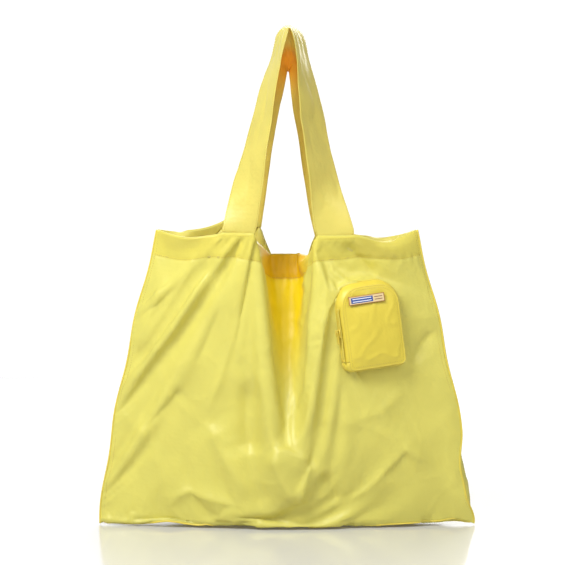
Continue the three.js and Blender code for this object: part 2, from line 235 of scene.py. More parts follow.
def hold_points(front, back, across):
    """Where the sewn and hung parts of the mouth and the base end up: {vertex: place}."""
    held = {}
    strap_feet = (                   # panel, side, inner and outer end of a strap's foot in mm
        (front, -1, (-38, -42, 373), (-81, -41, 374)),
        (front, 1, (34, -42, 370), (84, -42, 371)),
        (back, -1, (-32, 46, 387), (-78, 44, 390)),
        (back, 1, (33, 44, 368), (82, 43, 371)),
    )
    for grid, sign, inner, outer in strap_feet:
        inner, outer = np.array(inner), np.array(outer)
        for i, u in enumerate(across):
            if STRAP_INNER <= abs(u) <= STRAP_OUTER and u * sign > 0:
                t = (abs(u) - STRAP_INNER) / (STRAP_OUTER - STRAP_INNER)
                place = (inner + t * (outer - inner)) * MM
                held[int(grid[ROWS, i])] = place
                held[int(grid[ROWS - 1, i])] = place - (0, 0, PANEL_HEIGHT / ROWS)
    for j in range(ROWS + 1):
        z = GROUND + (SEAM_TOP - GROUND) * j / ROWS
        x = seam_reach(z) + 1.5 * MM * math.sin(z / (19 * MM))
        held[int(front[j, 0])] = np.array([-x, 2 * MM, z])
        held[int(front[j, COLUMNS])] = np.array([x, 0, z])
    for i, u in enumerate(across):
        if abs(u) < 20 * MM:         # the middle of the front's mouth lies far back, in the pleat
            held[int(front[ROWS, i])] = np.array([-2 * MM + u * 0.95, 30 * MM, 345 * MM])
    hold_under_pouch(front, across, held)
    return held


def hang(bag, held):
    """Pins the held points, and moves them to their places over the first steps."""
    bag.shape_key_add(name="Basis")
    hung = bag.shape_key_add(name="hung")
    for vertex, place in held.items():
        hung.data[vertex].co = Vector(place)
    for value, step in ((0, 1), (1, 24)):
        hung.value = value
        hung.keyframe_insert("value", frame=step)
    pins = bag.vertex_groups.new(name="pins")
    pins.add(list(held), 1.0, "REPLACE")


def weigh(bag, grids):
    """Marks the stiff hem, and how much of the filling presses on each row of the panels."""
    stiff = bag.vertex_groups.new(name="hem")
    filled = bag.vertex_groups.new(name="filled")
    for grid in grids:
        for j in range(ROWS + 1):
            height = PANEL_HEIGHT * j / ROWS
            row = [int(v) for v in grid[j]]
            stiff.add(row, 1.0 if height > PANEL_HEIGHT - HEM_DEPTH else 0.0, "REPLACE")
            share = float(np.clip(1.15 - height / (230 * MM), 0, 1))
            filled.add(row, share, "REPLACE")


def make_cloth(bag):
    """Thin nylon with a stiffer hem, filled from within."""
    cloth = bag.modifiers.new("cloth", "CLOTH")
    s = cloth.settings
    s.quality = 7
    s.mass = 0.12
    s.tension_stiffness = s.compression_stiffness = 30
    s.shear_stiffness = 12
    s.bending_stiffness = 0.05
    s.bending_stiffness_max = 2.0
    s.vertex_group_bending = "hem"
    s.tension_damping = s.compression_damping = s.shear_damping = 5
    s.bending_damping = 0.5
    s.air_damping = 2.0
    s.vertex_group_mass = "pins"
    s.pin_stiffness = 1.0
    s.use_pressure = True
    s.uniform_pressure_force = 1.2
    s.vertex_group_pressure = "filled"
    cloth.collision_settings.use_collision = True
    cloth.collision_settings.distance_min = 2 * MM
    cloth.collision_settings.use_self_collision = False
    cloth.point_cache.frame_start = 1
    cloth.point_cache.frame_end = FRAMES


def drape(points, faces, held, front, back):
    """Lets the cloth fall into place on the ground and returns every point's rest place."""
    bag = mesh_piece("draped_bag", points, faces)
    hang(bag, held)
    weigh(bag, (front, back))
    make_cloth(bag)
    bpy.ops.mesh.primitive_plane_add(size=2, location=(0, 0, 0))
    ground = bpy.context.object
    ground.modifiers.new("collision", "COLLISION")
    ground.collision.thickness_outer = 1 * MM
    ground.collision.cloth_friction = 20
    for step in range(1, FRAMES + 1):
        SCENE.frame_set(step)
    depsgraph = bpy.context.evaluated_depsgraph_get()
    settled = bag.evaluated_get(depsgraph).to_mesh()
    places = np.array([v.co for v in settled.vertices])
    bag.evaluated_get(depsgraph).to_mesh_clear()
    SCENE.frame_set(1)
    for used in (bag, ground):
        bpy.data.objects.remove(used)
    return places


def press_back(places):
    """The fold in the middle of the back lies nearly flat, so what stands out is pressed in."""
    places = places.copy()
    proud = np.maximum(places[:, 1] - 50 * MM, 0)
    places[:, 1] -= 0.72 * proud
    return places


def lift_foot(places):
    """The front of the foot doesn't touch the ground all the way along."""
    x, y, z = places.T
    rise = 5 * MM * bell(x, -150 * MM, 26 * MM) + 2 * MM * bell(x, -70 * MM, 34 * MM)
    rise += 2 * MM * bell(x, 150 * MM, 40 * MM) + 5 * MM * bell(x, 213 * MM, 15 * MM)
    share = (1 - smooth(0, 70 * MM, z)) * (1 - smooth(-15 * MM, 20 * MM, y))
    return places + np.stack([0 * x, 0 * x, rise * share], axis=1)


def turn_seam(places):
    """Low on the right the side seam is turned to the front, and the back's cloth shows beyond it."""
    places = places.copy()
    height = PANEL_HEIGHT * np.arange(ROWS + 1) / ROWS
    share = smooth(4 * MM, 40 * MM, height) * (1 - smooth(70 * MM, 125 * MM, height))
    turned = 9                       # columns of cloth that turn with the seam
    for k in range(turned):
        reach = share * (1 - k / turned)
        places[FRONT[:, COLUMNS - k], 0] -= 9 * MM * reach
        places[FRONT[:, COLUMNS - k], 1] -= 7 * MM * reach
        if k > 0:
            places[BACK[:, COLUMNS - k], 0] += 5 * MM * share * math.sin(math.pi * k / turned)
    return places


POINTS, FACES, FRONT, BACK, BASE, ACROSS = flat_bag()
HELD = hold_points(FRONT, BACK, ACROSS)
PLACES = drape(POINTS, FACES, HELD, FRONT, BACK)
PLACES = turn_seam(lift_foot(press_back(PLACES)))


# ---------------------------------------------------------------- reading the draped cloth

def cubic(values, places):
    """Reads a smooth curve through `values` (along the first axis) at fractional places."""
    last = len(values) - 1
    start = np.clip(np.floor(places).astype(int), 0, last - 1)
    t = (places - start).reshape(-1, *[1] * (values.ndim - 1))
    a, b, c, d = (values[np.clip(start + k, 0, last)] for k in (-1, 0, 1, 2))
    return b + 0.5 * t * (c - a + t * (2 * a - 5 * b + 4 * c - d + t * (3 * (b - c) + d - a)))


def finer(grid):
    """The draped points of a panel with two cells for each one."""
    rows = cubic(PLACES[grid], np.linspace(0, ROWS, 2 * ROWS + 1))
    return cubic(rows.transpose(1, 0, 2), np.linspace(0, COLUMNS, 2 * COLUMNS + 1)).transpose(1, 0, 2)


def near_line(x, z, line):
    """How far each place is from a bent line, seen from the front, which side of it the place is on,
    and how far along the line the nearest point is, from 0 to 1."""
    line = np.array(line, float) * MM
    best = np.full(x.shape, np.inf)
    side, along = np.zeros(x.shape), np.zeros(x.shape)
    for n, (start, stop) in enumerate(zip(line[:-1], line[1:])):
        run = stop - start
        share = ((x - start[0]) * run[0] + (z - start[1]) * run[1]) / run.dot(run)
        share = np.clip(share, 0, 1)
        dx, dz = x - start[0] - share * run[0], z - start[1] - share * run[1]
        gap = np.hypot(dx, dz)
        closer = gap < best
        best = np.where(closer, gap, best)
        side = np.where(closer, np.sign(run[0] * dz - run[1] * dx), side)
        along = np.where(closer, (n + share) / (len(line) - 1), along)
    return best, side, along


# Folds of the front as (points from the top down, height, width to its left, width to its right), all
# in mm. The points are seen from the front: across from the middle, and up from the ground. A height
# below zero is a groove.
FRONT_FOLDS = (
    (((-86, 350), (-108, 322), (-140, 276), (-172, 232), (-198, 190)), -5, 10, 10),
    (((-104, 352), (-138, 300), (-170, 250), (-190, 215)), 3, 8, 8),
    (((-96, 330), (-122, 290), (-160, 225)), 3.5, 7, 9),
    (((-150, 328), (-176, 262), (-196, 220)), 3, 8, 10),
    (((-80, 290), (-100, 240), (-116, 205)), -3, 8, 8),
    (((-130, 180), (-150, 155), (-186, 120)), -3.5, 9, 9),
    (((-58, 325), (-62, 260), (-82, 195), (-103, 137)), 4, 12, 9),
    (((-103, 137), (-78, 92), (-40, 30)), 6, 16, 22),
    (((-50, 196), (-52, 130), (-46, 92)), -6, 16, 14),
    (((-155, 20), (-136, 42), (-122, 47), (-84, 34), (-40, 26)), 5, 9, 12),
    (((-22, 106), (4, 98), (32, 88)), 5, 10, 8),
    (((-20, 106), (-6, 66), (11, 32)), 7, 9, 16),
    (((32, 90), (22, 60), (11, 32)), 7, 16, 9),
    (((8, 180), (2, 130), (8, 96)), 3, 8, 8),
    (((44, 76), (58, 50), (66, 30)), -6, 12, 14),
    (((66, 32), (100, 50), (150, 100), (190, 74)), 4.5, 10, 10),
    (((118, 60), (140, 84), (152, 102)), -3, 9, 7),
    (((68, 362), (92, 340), (114, 316)), -3.5, 7, 8),
    (((188, 252), (172, 232), (156, 206)), -5, 10, 9),
    (((150, 180), (120, 150), (60, 130)), 2.5, 18, 14),
)


FOLD_STRENGTH = 1.4                  # all the folds are this much higher than listed
CREST_SOFTNESS = 0.02                # 0 would make a crest a knife's edge


def add_folds(rows, folds):
    """Raises folds and grooves in draped cloth, each with a sharp crest that fades towards its ends."""
    normal = np.cross(np.gradient(rows, axis=1), np.gradient(rows, axis=0))
    normal /= np.maximum(np.linalg.norm(normal, axis=2, keepdims=True), 1e-12)
    x, z = rows[..., 0], rows[..., 2]
    total = np.zeros(x.shape)
    for line, height, left, right in folds:
        gap, side, along = near_line(x, z, line)
        width = np.where(side > 0, right, left) * MM
        spread = np.exp(-np.sqrt((gap / width) ** 2 + CREST_SOFTNESS) * 1.2)
        ends = smooth(0, 0.25, np.minimum(along, 1 - along))
        total += FOLD_STRENGTH * height * MM * spread * ends
    return rows + normal * total[..., None]


def surface(rows, outwards):
    """A function that gives points of the draped cloth: read(u, v, out) for places on the cut cloth.
    u and v are arrays that make a grid of rows (v) and columns (u)."""

    def read(u, v, out=0.0):
        step = 1.2 * MM

        def at(us, vs):
            lines = cubic(rows, np.atleast_1d(vs) / PANEL_HEIGHT * (len(rows) - 1))
            columns = (np.atleast_1d(us) + PANEL_HALF) / (2 * PANEL_HALF) * (rows.shape[1] - 1)
            return cubic(lines.transpose(1, 0, 2), columns).transpose(1, 0, 2)

        place = at(u, v)
        across = at(np.asarray(u) + step, v) - at(np.asarray(u) - step, v)
        upwards = at(u, np.asarray(v) + step) - at(u, np.asarray(v) - step)
        normal = outwards * np.cross(across, upwards)
        normal /= np.maximum(np.linalg.norm(normal, axis=2, keepdims=True), 1e-12)
        out = np.broadcast_to(np.asarray(out, float), place.shape[:2])
        return place + normal * out[..., None], normal

    return read


def soothe(rows, share, rounds):
    """Smooths draped cloth where `share` is above 0, as where it hangs over its filling."""
    rows = rows.copy()
    for _ in range(rounds):
        near = (rows[:-2, 1:-1] + rows[2:, 1:-1] + rows[1:-1, :-2] + rows[1:-1, 2:]) / 4
        rows[1:-1, 1:-1] += (near - rows[1:-1, 1:-1]) * share[1:-1, 1:-1, None]
        beside = (rows[-1, :-2] + rows[-1, 2:]) / 2
        rows[-1, 1:-1] += (beside - rows[-1, 1:-1]) * share[-1, 1:-1, None]
    return rows


def clear_zip(rows):
    """Keeps the cloth beside the zip low, so that the pull has room."""
    turn = np.array(POUCH.inverted())
    local = rows @ turn[:3, :3].T + turn[:3, 3]
    beside = smooth(-80 * MM, -62 * MM, local[..., 0]) * (1 - smooth(40 * MM, 60 * MM, local[..., 0]))
    share = beside * (1 - smooth(58 * MM, 76 * MM, np.abs(local[..., 1])))
    local[..., 2] -= 0.85 * share * np.maximum(local[..., 2] - 1.5 * MM, 0)
    return to_world(local)


def front_rows():
    """The draped front with its folds. It is smoothed where it hangs over the filling, on the lower right
    and low in the middle, and along the hem beside the straps."""
    rows = finer(FRONT)
    x, z = rows[..., 0], rows[..., 2]
    low_right = smooth(60 * MM, 130 * MM, x) * (1 - smooth(190 * MM, 240 * MM, z))
    low_middle = bell(x, 5 * MM, 60 * MM) * bell(z, 75 * MM, 45 * MM)
    outer_hem = smooth(84 * MM, 100 * MM, np.abs(x)) * smooth(290 * MM, 345 * MM, z)
    slack = np.maximum(0.8 * low_right, np.maximum(0.8 * low_middle, 0.7 * outer_hem))
    return clear_zip(add_folds(soothe(rows, slack, 30), FRONT_FOLDS))


# For each panel, the function that reads a place on the cut cloth as a point of the draped one.
READ = {"front": surface(front_rows(), 1), "back": surface(finer(BACK), -1)}


def noise_grid(u, v, size, seed):
    """Smooth noise from -1 to 1 over a grid of places, with features about `size` across."""
    return np.array([[noise.noise(Vector((x / size, y / size, seed))) for x in u] for y in v])


def creases(u, v, size, seed):
    """Thin sharp ridges, as crumpled nylon has: 0 to 1."""
    field = [[noise.noise(Vector((x / size, y / size * 0.8, seed))) for x in u] for y in v]
    return np.clip(1 - 7 * np.abs(np.array(field)), 0, 1) ** 2


def sheet_piece(name, rows, u, v, thickness, flip=False, offset=0.0, depth=None):
    """A cloth mesh from a grid of points, with the cut's own places in metres as its UV map."""
    count_v, count_u = rows.shape[:2]
    piece = mesh_piece(name, rows.reshape(-1, 3), grid_faces(count_v, count_u, flip))
    places = np.stack(np.meshgrid(u, v), axis=2).reshape(-1, 2)
    layer = piece.data.uv_layers.new(name="cut")
    corners = np.zeros(len(piece.data.loops), int)
    piece.data.loops.foreach_get("vertex_index", corners)
    layer.data.foreach_set("uv", places[corners].astype(np.float32).ravel())
    # Each point's share of painted fold shade, if given, is stored for the material.
    if depth is not None:
        mark_fold_shade(piece, depth)
    apply_modifier(piece, "SOLIDIFY", thickness=thickness, offset=offset, use_rim=True)
    return piece


def mark_fold_shade(piece, depth):
    """Stores each point's share of painted fold shade, from 0 to 1, for the material to read."""
    layer = piece.data.attributes.new("depth", "FLOAT", "POINT")
    layer.data.foreach_set("value", np.asarray(depth, np.float32).ravel())


def finish_piece(piece, material, body, nodes=()):
    """Gives a piece its material, its body and the nodes it replaces."""
    piece.data.materials.clear()
    piece.data.materials.append(material)
    if body:
        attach(piece, body)
    for node in nodes:
        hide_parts(node)


def tube(name, path, radius, sides=8):
    """A closed round bar along a path."""
    path = np.asarray(path)
    along = np.gradient(path, axis=0)
    along /= np.linalg.norm(along, axis=1, keepdims=True)
    side = np.cross(along[0], (0.3, 0.2, 0.9))
    rings = []
    for place, direction in zip(path, along):
        side = side - direction * side.dot(direction)
        side /= np.linalg.norm(side)
        other = np.cross(direction, side)
        for k in range(sides):
            angle = 2 * math.pi * k / sides
            rings.append(place + radius * (math.cos(angle) * side + math.sin(angle) * other))
    faces = []
    for n in range(len(path) - 1):
        for k in range(sides):
            a, b = n * sides + k, n * sides + (k + 1) % sides
            faces.append((a, b, b + sides, a + sides))
    last = (len(path) - 1) * sides
    faces.append(tuple(reversed(range(sides))))
    faces.append(tuple(range(last, last + sides)))
    return mesh_piece(name, rings, faces)


def bead(segments, rings, turn=(0, 0, 0)):
    """Points and faces of a ball 1 across, which is stretched and repeated as a stitch or a coil's turn."""
    bpy.ops.object.select_all(action="DESELECT")
    bpy.ops.mesh.primitive_uv_sphere_add(segments=segments, ring_count=rings, radius=0.5, rotation=turn)
    bpy.ops.object.transform_apply(rotation=True)
    ball = bpy.context.object
    points = np.array([v.co for v in ball.data.vertices])
    faces = [tuple(f.vertices) for f in ball.data.polygons]
    bpy.data.objects.remove(ball)
    return points, faces


def repeated(name, clouds, faces):
    """One mesh from many copies of a small shape, given by the points of each copy."""
    size = len(clouds[0])
    joined = [tuple(v + n * size for v in face) for n in range(len(clouds)) for face in faces]
    return mesh_piece(name, np.concatenate(clouds), joined)


STITCH_POINTS, STITCH_FACES = bead(6, 5, (0, math.pi / 2, 0))   # its poles are the thread's ends


def stitches(name, path, normals, pitch=3.2 * MM, length=2.5 * MM, width=0.55 * MM):
    """A row of separate stitches along a path on the cloth, half sunk in it."""
    path, normals = np.asarray(path), np.asarray(normals)
    gaps = np.linalg.norm(np.diff(path, axis=0), axis=1)
    travelled = np.concatenate([[0], np.cumsum(gaps)])
    stations = np.arange(pitch / 2, travelled[-1], pitch)
    index = np.interp(stations, travelled, np.arange(len(path)))
    places = cubic(path, index)
    ends = cubic(path, np.clip(index + 0.2, 0, len(path) - 1)) - cubic(path, np.clip(index - 0.2, 0, None))
    ups = cubic(normals, index)
    clouds = []
    for place, x, z in zip(places, ends, ups):
        x = x / np.linalg.norm(x)
        z = z - x * z.dot(x)
        z = z / np.linalg.norm(z)
        turn = np.stack([x * length, np.cross(z, x) * width, z * width * 0.7])
        clouds.append(place + STITCH_POINTS @ turn)
    return repeated(name, clouds, STITCH_FACES)


# ---------------------------------------------------------------- materials

def new_material(name):
    """An empty material with nodes."""
    material = bpy.data.materials.new(name)
    material.use_nodes = True
    material.node_tree.nodes.clear()
    return material


def add_node(tree, kind, inputs=None, **settings):
    """Adds a node. `inputs` are links or values for its sockets. Settings are its properties or, where it
    has a socket of that name, the socket's value."""
    node = tree.nodes.new(kind)
    for key, value in settings.items():
        socket = key.replace("_", " ")
        if socket in node.inputs:
            node.inputs[socket].default_value = value
        else:
            setattr(node, key, value)
    for socket, source in (inputs or {}).items():
        if isinstance(source, bpy.types.NodeSocket):
            tree.links.new(source, node.inputs[socket])
        else:
            node.inputs[socket].default_value = source
    return node


def weave_height(tree, thread):
    """Height of a plain weave: two crossed sets of threads, in the cut's own places."""
    cut = add_node(tree, "ShaderNodeUVMap", uv_map="cut")
    bands = []
    for direction in ("X", "Y"):
        bands.append(add_node(tree, "ShaderNodeTexWave", {"Vector": cut.outputs["UV"]}, wave_type="BANDS",
                              bands_direction=direction, Scale=1 / (thread * 20), Distortion=0.0))
    return add_node(tree, "ShaderNodeMath", {0: bands[0].outputs["Fac"], 1: bands[1].outputs["Fac"]},
                    operation="MULTIPLY")


def nylon(name, colour, through, share, thread=0.9 * MM, crumple=0.8, fold_shade_colour="#ffe61c", hem=None):
    """Thin woven nylon, a plain taffeta: it shines softly where light falls on it, and light comes
    through it. Lying double, as in a hem, it is deeper in colour. Its threads are about 0.1 mm apart and
    are drawn coarser, or they would not show. `fold_shade_colour` is painted shade: its colour down in a
    fold, where light reaches it through other cloth, blended in by each point's share of fold shade.
    `hem` is the hem's start on the cut, its colour and its colour in painted fold shade."""
    material = new_material(name)
    tree = material.node_tree
    place = add_node(tree, "ShaderNodeTexCoord")
    soft = add_node(tree, "ShaderNodeTexNoise", {"Vector": place.outputs["Object"]}, Scale=28.0, Detail=4.0)
    fine = add_node(tree, "ShaderNodeTexNoise", {"Vector": place.outputs["Object"]}, Scale=110.0, Detail=3.0)
    tint = add_node(tree, "ShaderNodeValToRGB", {"Fac": soft.outputs["Fac"]})
    red, green, blue, _ = linear(colour)
    for element, level in zip(tint.color_ramp.elements, (0.95, 1.03)):
        element.color = (min(red * level, 1), min(green * level, 1), min(blue * level, 1), 1)
    tint.color_ramp.elements[0].position = 0.3
    tint.color_ramp.elements[1].position = 0.7

    # Painted shade: where a point lies down in a fold, the cloth's colour is blended towards its colour in
    # shade there.
    depth = add_node(tree, "ShaderNodeAttribute", attribute_name="depth")
    fold_shade_mix = {"Factor": depth.outputs["Fac"], 6: tint.outputs["Color"], 7: linear(fold_shade_colour)}
    shown = add_node(tree, "ShaderNodeMix", fold_shade_mix, data_type="RGBA")
    if hem:
        start, single, hem_fold_shade_colour = hem
        cut = add_node(tree, "ShaderNodeUVMap", uv_map="cut")
        split = add_node(tree, "ShaderNodeSeparateXYZ", {"Vector": cut.outputs["UV"]})
        zone = {"Value": split.outputs["Y"], "From Min": start, "From Max": start + 1.5 * MM}
        above = add_node(tree, "ShaderNodeMapRange", zone)
        # Painted shade: the doubled hem is also blended towards a shade colour where it lies down in a fold.
        fold_shade_mix = {"Factor": depth.outputs["Fac"], 6: linear(single), 7: linear(hem_fold_shade_colour)}
        hem_with_fold_shade = add_node(tree, "ShaderNodeMix", fold_shade_mix, data_type="RGBA")
        turned_over = {"Factor": above.outputs["Result"], 6: shown.outputs[2], 7: hem_with_fold_shade.outputs[2]}
        shown = add_node(tree, "ShaderNodeMix", turned_over, data_type="RGBA")
    weave = weave_height(tree, thread)
    crease = add_node(tree, "ShaderNodeBump", {"Height": soft.outputs["Fac"]},
                      Strength=crumple, Distance=2.2 * MM)
    small = add_node(tree, "ShaderNodeBump",
                     {"Height": fine.outputs["Fac"], "Normal": crease.outputs["Normal"]},
                     Strength=crumple * 0.6, Distance=0.6 * MM)
    cloth = add_node(tree, "ShaderNodeBump", {"Height": weave.outputs[0], "Normal": small.outputs["Normal"]},
                     Strength=0.35, Distance=0.12 * MM)
    normal = cloth.outputs["Normal"]
    body = add_node(tree, "ShaderNodeBsdfPrincipled", {"Base Color": shown.outputs[2], "Normal": normal},
                    Roughness=0.42, IOR=1.53, Sheen_Weight=0.08, Sheen_Roughness=0.5)
    glow = add_node(tree, "ShaderNodeBsdfTranslucent", {"Normal": normal}, Color=linear(through))
    mix = add_node(tree, "ShaderNodeMixShader", {1: body.outputs[0], 2: glow.outputs[0]}, Fac=share)
    add_node(tree, "ShaderNodeOutputMaterial", {"Surface": mix.outputs[0]})
    return material


def plain(name, colour, roughness, metallic=0.0, grain=0.0, grain_size=1 * MM):
    """A material of one colour with a fine grain in its surface."""
    material = new_material(name)
    tree = material.node_tree
    body = add_node(tree, "ShaderNodeBsdfPrincipled", Base_Color=linear(colour), Roughness=roughness,
                    Metallic=metallic)
    if grain:
        place = add_node(tree, "ShaderNodeTexCoord")
        speckle = add_node(tree, "ShaderNodeTexNoise", {"Vector": place.outputs["Object"]},
                           Scale=1 / grain_size, Detail=2.0)
        bump = add_node(tree, "ShaderNodeBump", {"Height": speckle.outputs["Fac"]}, Strength=grain,
                        Distance=grain_size * 0.2)
        tree.links.new(bump.outputs["Normal"], body.inputs["Normal"])
    add_node(tree, "ShaderNodeOutputMaterial", {"Surface": body.outputs[0]})
    return material


# Painted shade: the hem's last colour and NYLON_DOUBLE's fold colour are given to cloth down in a fold.
NYLON = nylon("nylon_taffeta", "#e7e278", "#f4ea00", 0.38,
              hem=(PANEL_HEIGHT - HEM_DEPTH, "#ece26a", "#ffd204"))
NYLON_DOUBLE = nylon("nylon_folded_double", "#dcd66a", "#f4b800", 0.24, fold_shade_colour="#f2ac24")
NYLON_POUCH = nylon("nylon_over_filling", "#e8d64c", "#f0c810", 0.22)
THREAD = plain("polyester_thread", "#cdb848", 0.6, grain=0.3)
BINDING = nylon("nylon_seam", "#e0cc4c", "#f0b41e", 0.1)
TAPE = plain("knitted_zip_tape", "#dccb58", 0.75, grain=0.6, grain_size=0.8 * MM)
COIL = plain("moulded_nylon_coil", "#e2cf58", 0.3)
LACQUER = plain("lacquered_zinc", "#d8c048", 0.28, metallic=0.15)


# ---------------------------------------------------------------- bag body

def panel_cloth(side, flip, seed):
    """A panel of the bag, with its crumples and the small gathers along the hem's stitches."""
    u = np.linspace(-PANEL_HALF, PANEL_HALF, 2 * COLUMNS + 1)
    v = np.linspace(0, PANEL_HEIGHT, 2 * ROWS + 1)
    hem_line = bell(v, PANEL_HEIGHT - HEM_DEPTH + 2 * MM, 2.2 * MM)[:, None]
    rough = 0.9 * MM * creases(u, v, 110 * MM, seed) + 0.5 * MM * creases(u, v, 46 * MM, seed + 5)
    rough += 1.0 * MM * noise_grid(u, v, 52 * MM, seed + 9)
    waves = np.sin(u / (2.1 * MM) + 2.5 * np.sin(u / (19 * MM))) * (0.6 + 0.4 * np.sin(u / (31 * MM)))
    pucker = 0.7 * MM * waves[None, :] * bell(v, PANEL_HEIGHT - HEM_DEPTH, 6 * MM)[:, None]
    edge = smooth(0, 12 * MM, PANEL_HALF - np.abs(u))[None, :]
    rows, _ = READ[side](u, v, edge * (rough + pucker - 0.9 * MM * hem_line))
    # Painted shade: where the cloth lies in towards the bag, high in the middle pleat, the material gets its
    # fold colour.
    inside = rows[..., 1] if side == "front" else -rows[..., 1]
    pleat_shade_zone = (np.abs(rows[..., 0]) < 60 * MM) * smooth(90 * MM, 160 * MM, rows[..., 2])
    piece = sheet_piece(f"{side}_cloth", rows, u, v, CLOTH, flip=flip,
                        depth=smooth(-28 * MM, 12 * MM, inside) * pleat_shade_zone)
    finish_piece(piece, NYLON, "bag", [f"{side}_panel"])


def base_cloth():
    """The base, a pointed oval that lies on the ground."""
    v = np.linspace(-FOOT_DEPTH, FOOT_DEPTH, BASE_ROWS + 1)
    piece = sheet_piece("base_cloth", PLACES[BASE], ACROSS, v, CLOTH, flip=True)
    finish_piece(piece, NYLON, "bag", ["base_gusset"])


def mouth_hem(side, flip):
    """The hem inside the mouth, the rolled edge above it and its rows of stitches."""
    read = READ[side]
    reach = PANEL_HALF - 3 * MM
    u = np.linspace(-reach, reach, 2 * COLUMNS)
    v = PANEL_HEIGHT - np.linspace(HEM_DEPTH, 0, 13)
    rows, _ = read(u, v, -1.1 * MM)
    hem = sheet_piece(f"{side}_hem_cloth", rows, u, v, CLOTH, flip=flip)
    finish_piece(hem, NYLON_DOUBLE, "bag", [f"{side}_mouth_hem"])
    edge, _ = read(u, [PANEL_HEIGHT], -0.5 * MM)
    roll = tube(f"{side}_mouth_fold", edge[0], 0.85 * MM)
    finish_piece(roll, NYLON, "bag")
    for face, out in (("outer", 0.3 * MM), ("inner", -1.4 * MM)):
        line, normals = read(u, [PANEL_HEIGHT - HEM_DEPTH + 2 * MM], out)
        row = stitches(f"{side}_hem_{face}_stitches", line[0], normals[0] * (1 if out > 0 else -1))
        finish_piece(row, THREAD, "bag")


def seams():
    """The ridges of overlocked cloth down the sides and round the base."""
    ridges = (
        ("left_side_ridge", PLACES[FRONT[:, 0]], "left_side_seam"),
        ("right_side_ridge", PLACES[FRONT[:, COLUMNS]], "right_side_seam"),
        ("front_foot_ridge", PLACES[FRONT[0, 1:-1]], "front_base_seam"),
        ("back_foot_ridge", PLACES[BACK[0, 1:-1]], "back_base_seam"),
    )
    for name, path, node in ridges:
        finer_path = cubic(path, np.linspace(0, len(path) - 1, 2 * len(path)))
        finish_piece(tube(name, finer_path, 1.2 * MM), BINDING, "bag", [node])


# ---------------------------------------------------------------- straps

# Each leg's outer and inner edge, in mm from the middle, at rising shares of the strap's height. The left
# leg is -1 and the right leg is 1.
LEVELS = (0.03, 0.12, 0.27, 0.42, 0.57, 0.72, 0.86, 0.96)
FRONT_EDGES = {
    -1: ((-80, -76, -65.5, -54.5, -43.5, -32, -20, -12), (-38, -34, -29, -24, -18, -13, -6.5, 0)),
    1: ((83, 76, 64, 54.5, 46, 37.5, 27.5, 18), (33.5, 30.5, 26.5, 21.5, 17, 14, 10.5, 5.5)),
}
BACK_EDGES = {
    -1: ((-78, -74, -64, -53, -42, -31, -19, -11), (-33, -29.5, -24, -18, -11, -3.5, 0, 0.5)),
    1: ((82, 74, 62, 53, 44, 36, 26, 16), (33, 28, 22, 16, 9.5, 4, 2, 1.5)),
}


STRAP_POINTS = 9                     # points across a strap before it is refined
STRAP_MIDDLE = 9                     # the column in its middle afterwards


def strap_rows(side, edges, web):
    """Rows of points across a strap, from its left end over the top to its right end. On the way up it
    turns from facing forwards to facing up. Where `web` is above 0 the top is folded together, and its
    inner edge drops by as much."""
    read = READ["front" if side < 0 else "back"]
    sewn = PANEL_HEIGHT - np.array([STRAP_SEWN, STRAP_SEWN / 2, 1 * MM])
    spread = 0.6 if web else 1.0
    half = STRAP_WIDTH / 2
    legs = {}
    for sign in (-1, 1):
        places = np.linspace(STRAP_OUTER, STRAP_INNER, STRAP_POINTS) * sign
        ends, _ = read(places, sewn, -2.0 * MM)
        rows = list(ends)
        for level, outer, inner in zip(LEVELS, *edges[sign]):
            z = RIM_Z + (APEX_Z - RIM_Z) * level
            seen = abs(outer - inner) * MM / 2
            turned = math.sqrt(max(half ** 2 - seen ** 2, 0)) * smooth(0, 0.25, level) * spread
            middle = np.interp(level, (0, 1), (41 * MM, half * spread + 1.6 * MM))
            low = min(z, APEX_Z - web) if web else z
            start = np.array([outer * MM, side * (middle - turned), z])
            stop = np.array([inner * MM, side * (middle + turned), low])
            rows.append(np.linspace(start, stop, STRAP_POINTS))
        legs[sign] = rows
    top = np.linspace([2 * MM, side * 1.6 * MM, APEX_Z],
                      [2 * MM, side * (STRAP_WIDTH * spread + 1.6 * MM), APEX_Z - max(web, 5 * MM)],
                      STRAP_POINTS)
    return np.array(legs[-1] + [top] + legs[1][::-1])


